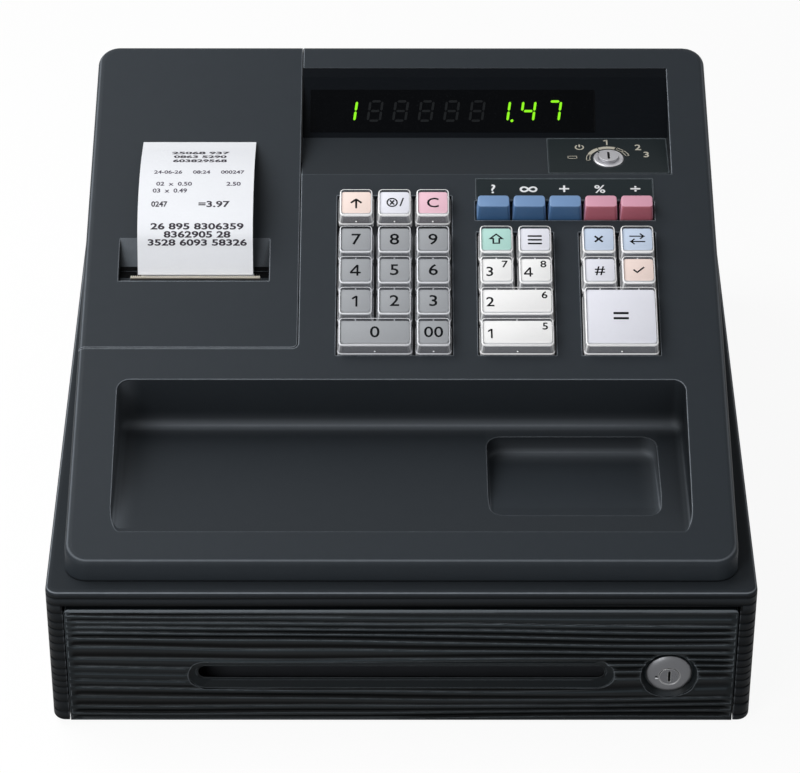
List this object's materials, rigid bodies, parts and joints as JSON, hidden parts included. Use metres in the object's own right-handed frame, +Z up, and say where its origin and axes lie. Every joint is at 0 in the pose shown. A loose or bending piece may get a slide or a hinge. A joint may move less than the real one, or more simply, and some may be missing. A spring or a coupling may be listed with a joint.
{
  "type": "ticket register",
  "caption": "Compact cash register: sloped housing with receipt printer, display, keypad and coin shelf over a key-locked cash drawer with a note slot.",
  "frame": {"origin": "under the middle of the case, on the surface it stands on", "axes": "+X to the user's right, +Y to the back, +Z up; the drawer opens along -Y"},
  "size_m": [0.335, 0.36, 0.1942],
  "materials": {
    "case_plastic": "fine texture",
    "drawer_plastic": "satin",
    "tray_plastic": "satin",
    "sheet_steel": "zinc plated",
    "foot_rubber": "matt",
    "screw_steel": "zinc plated",
    "lock_metal": "satin nickel",
    "smoked_window": "polished",
    "cutter_steel": "bright",
    "paper": "uncoated paper",
    "board_laminate": "solder mask",
    "keyboard_plastic": "matt",
    "printer_plastic": "matt",
    "head_metal": "machined",
    "platen_rubber": "ground",
    "iron_core": "lacquered laminations",
    "clip_plastic": "satin",
    "gland_rubber": "matt",
    "key_grey": "polished clear cap over grey",
    "key_white": "polished clear cap over white",
    "key_pale_grey": "polished clear cap over pale grey",
    "key_mint": "polished clear cap over mint",
    "key_pink": "polished clear cap over pink",
    "key_peach": "polished clear cap over peach",
    "key_pale_blue": "polished clear cap over pale blue",
    "key_blue": "satin",
    "key_rose": "satin"
  },
  "bodies": {
    "chassis": {"base_case": "case_plastic", "base_plate": "sheet_steel", "rubber_feet": "foot_rubber", "case_screws": "screw_steel", "upper_housing": "case_plastic", "display_windows": "smoked_window", "mode_switch_barrel": "lock_metal", "keyboard_frame": "keyboard_plastic", "circuit_boards": "board_laminate", "transformer": "iron_core", "cord_gland": "gland_rubber", "printer_frame": "printer_plastic", "thermal_head": "head_metal", "drawer_solenoid": "iron_core"},
    "cover": {"printer_cover": "case_plastic", "tear_bar": "cutter_steel", "receipt_strip": "paper"},
    "mode_rotor": {"mode_switch_rotor": "lock_metal"},
    "platen": {"platen_roller": "platen_rubber"},
    "roll": {"paper_roll": "paper"},
    "drawer": {"drawer_front": "case_plastic", "drawer_box": "drawer_plastic", "coin_tray": "tray_plastic", "drawer_lock_barrel": "lock_metal"},
    "lock_core": {"drawer_lock_cylinder": "lock_metal"},
    "latch": {"drawer_latch": "sheet_steel"},
    "clip_1": {"bill_clip_1": "clip_plastic"},
    "clip_2": {"bill_clip_2": "clip_plastic"},
    "clip_3": {"bill_clip_3": "clip_plastic"},
    "clip_4": {"bill_clip_4": "clip_plastic"},
    "key_1_button": {"key_1": "key_grey"},
    "key_2_button": {"key_2": "key_grey"},
    "key_3_button": {"key_3": "key_grey"},
    "key_4_button": {"key_4": "key_grey"},
    "key_5_button": {"key_5": "key_grey"},
    "key_6_button": {"key_6": "key_grey"},
    "key_7_button": {"key_7": "key_grey"},
    "key_8_button": {"key_8": "key_grey"},
    "key_9_button": {"key_9": "key_grey"},
    "key_feed_button": {"key_feed": "key_peach"},
    "key_receipt_switch_button": {"key_receipt_switch": "key_pale_grey"},
    "key_clear_button": {"key_clear": "key_pink"},
    "key_0_button": {"key_0": "key_grey"},
    "key_00_button": {"key_00": "key_grey"},
    "key_shift_button": {"key_shift": "key_mint"},
    "key_lookup_button": {"key_lookup": "key_pale_grey"},
    "key_item_3_button": {"key_item_3": "key_white"},
    "key_item_4_button": {"key_item_4": "key_white"},
    "key_item_2_button": {"key_item_2": "key_white"},
    "key_item_1_button": {"key_item_1": "key_white"},
    "key_credit_button": {"key_credit": "key_pale_blue"},
    "key_exchange_button": {"key_exchange": "key_pale_blue"},
    "key_subtotal_button": {"key_subtotal": "key_pale_grey"},
    "key_cheque_button": {"key_cheque": "key_peach"},
    "key_total_button": {"key_total": "key_pale_grey"},
    "key_function_1_button": {"key_function_1": "key_blue"},
    "key_function_2_button": {"key_function_2": "key_blue"},
    "key_function_3_button": {"key_function_3": "key_blue"},
    "key_function_4_button": {"key_function_4": "key_rose"},
    "key_function_5_button": {"key_function_5": "key_rose"}
  },
  "joints": [
    {"name": "drawer_slide", "type": "slide", "parent": "chassis", "child": "drawer", "axis": [0, -1, 0], "range_m": [0, 0.235]},
    {"name": "drawer_lock_turn", "type": "hinge", "parent": "drawer", "child": "lock_core", "pos_m": [0.1278, -0.17, 0.0306], "axis": [0, 1, 0], "range_deg": [0, 90]},
    {"name": "drawer_latch_pivot", "type": "hinge", "parent": "chassis", "child": "latch", "pos_m": [0, 0.165, 0.024], "axis": [-1, 0, 0], "range_deg": [0, 6.5]},
    {"name": "printer_cover_lift", "type": "slide", "parent": "chassis", "child": "cover", "axis": [0, 0, 1], "range_m": [0, 0.06]},
    {"name": "mode_switch_turn", "type": "hinge", "parent": "chassis", "child": "mode_rotor", "pos_m": [0.1049, 0.05902, 0.16806], "axis": [0, 0, -1], "range_deg": [-60, 75]},
    {"name": "paper_roll_turn", "type": "hinge", "parent": "chassis", "child": "roll", "pos_m": [-0.1019, 0.036, 0.1184], "axis": [1, 0, 0], "continuous": true},
    {"name": "platen_turn", "type": "hinge", "parent": "chassis", "child": "platen", "pos_m": [-0.1019, -0.007, 0.1321], "axis": [1, 0, 0], "continuous": true},
    {"name": "note_clip_1_lift", "type": "hinge", "parent": "drawer", "child": "clip_1", "pos_m": [-0.10733, 0.1095, 0.0605], "axis": [-1, 0, 0], "range_deg": [0, 26], "stiffness_Nm_per_rad": 0.02, "springref_deg": -34.38},
    {"name": "note_clip_2_lift", "type": "hinge", "parent": "drawer", "child": "clip_2", "pos_m": [-0.03578, 0.1095, 0.0605], "axis": [-1, 0, 0], "range_deg": [0, 26], "stiffness_Nm_per_rad": 0.02, "springref_deg": -34.38},
    {"name": "note_clip_3_lift", "type": "hinge", "parent": "drawer", "child": "clip_3", "pos_m": [0.03578, 0.1095, 0.0605], "axis": [-1, 0, 0], "range_deg": [0, 26], "stiffness_Nm_per_rad": 0.02, "springref_deg": -34.38},
    {"name": "note_clip_4_lift", "type": "hinge", "parent": "drawer", "child": "clip_4", "pos_m": [0.10733, 0.1095, 0.0605], "axis": [-1, 0, 0], "range_deg": [0, 26], "stiffness_Nm_per_rad": 0.02, "springref_deg": -34.38},
    {"name": "key_1_press", "type": "slide", "parent": "chassis", "child": "key_1_button", "axis": [0, 0.3239, -0.9461], "range_m": [0, 0.003], "stiffness_N_per_m": 150, "springref_m": -0.002},
    {"name": "key_2_press", "type": "slide", "parent": "chassis", "child": "key_2_button", "axis": [0, 0.3239, -0.9461], "range_m": [0, 0.003], "stiffness_N_per_m": 150, "springref_m": -0.002},
    {"name": "key_3_press", "type": "slide", "parent": "chassis", "child": "key_3_button", "axis": [0, 0.3239, -0.9461], "range_m": [0, 0.003], "stiffness_N_per_m": 150, "springref_m": -0.002},
    {"name": "key_4_press", "type": "slide", "parent": "chassis", "child": "key_4_button", "axis": [0, 0.3239, -0.9461], "range_m": [0, 0.003], "stiffness_N_per_m": 150, "springref_m": -0.002},
    {"name": "key_5_press", "type": "slide", "parent": "chassis", "child": "key_5_button", "axis": [0, 0.3239, -0.9461], "range_m": [0, 0.003], "stiffness_N_per_m": 150, "springref_m": -0.002},
    {"name": "key_6_press", "type": "slide", "parent": "chassis", "child": "key_6_button", "axis": [0, 0.3239, -0.9461], "range_m": [0, 0.003], "stiffness_N_per_m": 150, "springref_m": -0.002},
    {"name": "key_7_press", "type": "slide", "parent": "chassis", "child": "key_7_button", "axis": [0, 0.3239, -0.9461], "range_m": [0, 0.003], "stiffness_N_per_m": 150, "springref_m": -0.002},
    {"name": "key_8_press", "type": "slide", "parent": "chassis", "child": "key_8_button", "axis": [0, 0.3239, -0.9461], "range_m": [0, 0.003], "stiffness_N_per_m": 150, "springref_m": -0.002},
    {"name": "key_9_press", "type": "slide", "parent": "chassis", "child": "key_9_button", "axis": [0, 0.3239, -0.9461], "range_m": [0, 0.003], "stiffness_N_per_m": 150, "springref_m": -0.002},
    {"name": "key_feed_press", "type": "slide", "parent": "chassis", "child": "key_feed_button", "axis": [0, 0.3239, -0.9461], "range_m": [0, 0.003], "stiffness_N_per_m": 150, "springref_m": -0.002},
    {"name": "key_receipt_switch_press", "type": "slide", "parent": "chassis", "child": "key_receipt_switch_button", "axis": [0, 0.3239, -0.9461], "range_m": [0, 0.003], "stiffness_N_per_m": 150, "springref_m": -0.002},
    {"name": "key_clear_press", "type": "slide", "parent": "chassis", "child": "key_clear_button", "axis": [0, 0.3239, -0.9461], "range_m": [0, 0.003], "stiffness_N_per_m": 150, "springref_m": -0.002},
    {"name": "key_0_press", "type": "slide", "parent": "chassis", "child": "key_0_button", "axis": [0, 0.3239, -0.9461], "range_m": [0, 0.003], "stiffness_N_per_m": 150, "springref_m": -0.002},
    {"name": "key_00_press", "type": "slide", "parent": "chassis", "child": "key_00_button", "axis": [0, 0.3239, -0.9461], "range_m": [0, 0.003], "stiffness_N_per_m": 150, "springref_m": -0.002},
    {"name": "key_shift_press", "type": "slide", "parent": "chassis", "child": "key_shift_button", "axis": [0, 0.3239, -0.9461], "range_m": [0, 0.003], "stiffness_N_per_m": 150, "springref_m": -0.002},
    {"name": "key_lookup_press", "type": "slide", "parent": "chassis", "child": "key_lookup_button", "axis": [0, 0.3239, -0.9461], "range_m": [0, 0.003], "stiffness_N_per_m": 150, "springref_m": -0.002},
    {"name": "key_item_3_press", "type": "slide", "parent": "chassis", "child": "key_item_3_button", "axis": [0, 0.3239, -0.9461], "range_m": [0, 0.003], "stiffness_N_per_m": 150, "springref_m": -0.002},
    {"name": "key_item_4_press", "type": "slide", "parent": "chassis", "child": "key_item_4_button", "axis": [0, 0.3239, -0.9461], "range_m": [0, 0.003], "stiffness_N_per_m": 150, "springref_m": -0.002},
    {"name": "key_item_2_press", "type": "slide", "parent": "chassis", "child": "key_item_2_button", "axis": [0, 0.3239, -0.9461], "range_m": [0, 0.003], "stiffness_N_per_m": 150, "springref_m": -0.002},
    {"name": "key_item_1_press", "type": "slide", "parent": "chassis", "child": "key_item_1_button", "axis": [0, 0.3239, -0.9461], "range_m": [0, 0.003], "stiffness_N_per_m": 150, "springref_m": -0.002},
    {"name": "key_credit_press", "type": "slide", "parent": "chassis", "child": "key_credit_button", "axis": [0, 0.3239, -0.9461], "range_m": [0, 0.003], "stiffness_N_per_m": 150, "springref_m": -0.002},
    {"name": "key_exchange_press", "type": "slide", "parent": "chassis", "child": "key_exchange_button", "axis": [0, 0.3239, -0.9461], "range_m": [0, 0.003], "stiffness_N_per_m": 150, "springref_m": -0.002},
    {"name": "key_subtotal_press", "type": "slide", "parent": "chassis", "child": "key_subtotal_button", "axis": [0, 0.3239, -0.9461], "range_m": [0, 0.003], "stiffness_N_per_m": 150, "springref_m": -0.002},
    {"name": "key_cheque_press", "type": "slide", "parent": "chassis", "child": "key_cheque_button", "axis": [0, 0.3239, -0.9461], "range_m": [0, 0.003], "stiffness_N_per_m": 150, "springref_m": -0.002},
    {"name": "key_total_press", "type": "slide", "parent": "chassis", "child": "key_total_button", "axis": [0, 0.3239, -0.9461], "range_m": [0, 0.003], "stiffness_N_per_m": 150, "springref_m": -0.002},
    {"name": "key_function_1_press", "type": "slide", "parent": "chassis", "child": "key_function_1_button", "axis": [0, 0.3239, -0.9461], "range_m": [0, 0.003], "stiffness_N_per_m": 150, "springref_m": -0.002},
    {"name": "key_function_2_press", "type": "slide", "parent": "chassis", "child": "key_function_2_button", "axis": [0, 0.3239, -0.9461], "range_m": [0, 0.003], "stiffness_N_per_m": 150, "springref_m": -0.002},
    {"name": "key_function_3_press", "type": "slide", "parent": "chassis", "child": "key_function_3_button", "axis": [0, 0.3239, -0.9461], "range_m": [0, 0.003], "stiffness_N_per_m": 150, "springref_m": -0.002},
    {"name": "key_function_4_press", "type": "slide", "parent": "chassis", "child": "key_function_4_button", "axis": [0, 0.3239, -0.9461], "range_m": [0, 0.003], "stiffness_N_per_m": 150, "springref_m": -0.002},
    {"name": "key_function_5_press", "type": "slide", "parent": "chassis", "child": "key_function_5_button", "axis": [0, 0.3239, -0.9461], "range_m": [0, 0.003], "stiffness_N_per_m": 150, "springref_m": -0.002}
  ],
  "couplings": [
    {"joint": "platen_turn", "follows": "paper_roll_turn", "ratio": -5.6}
  ]
}
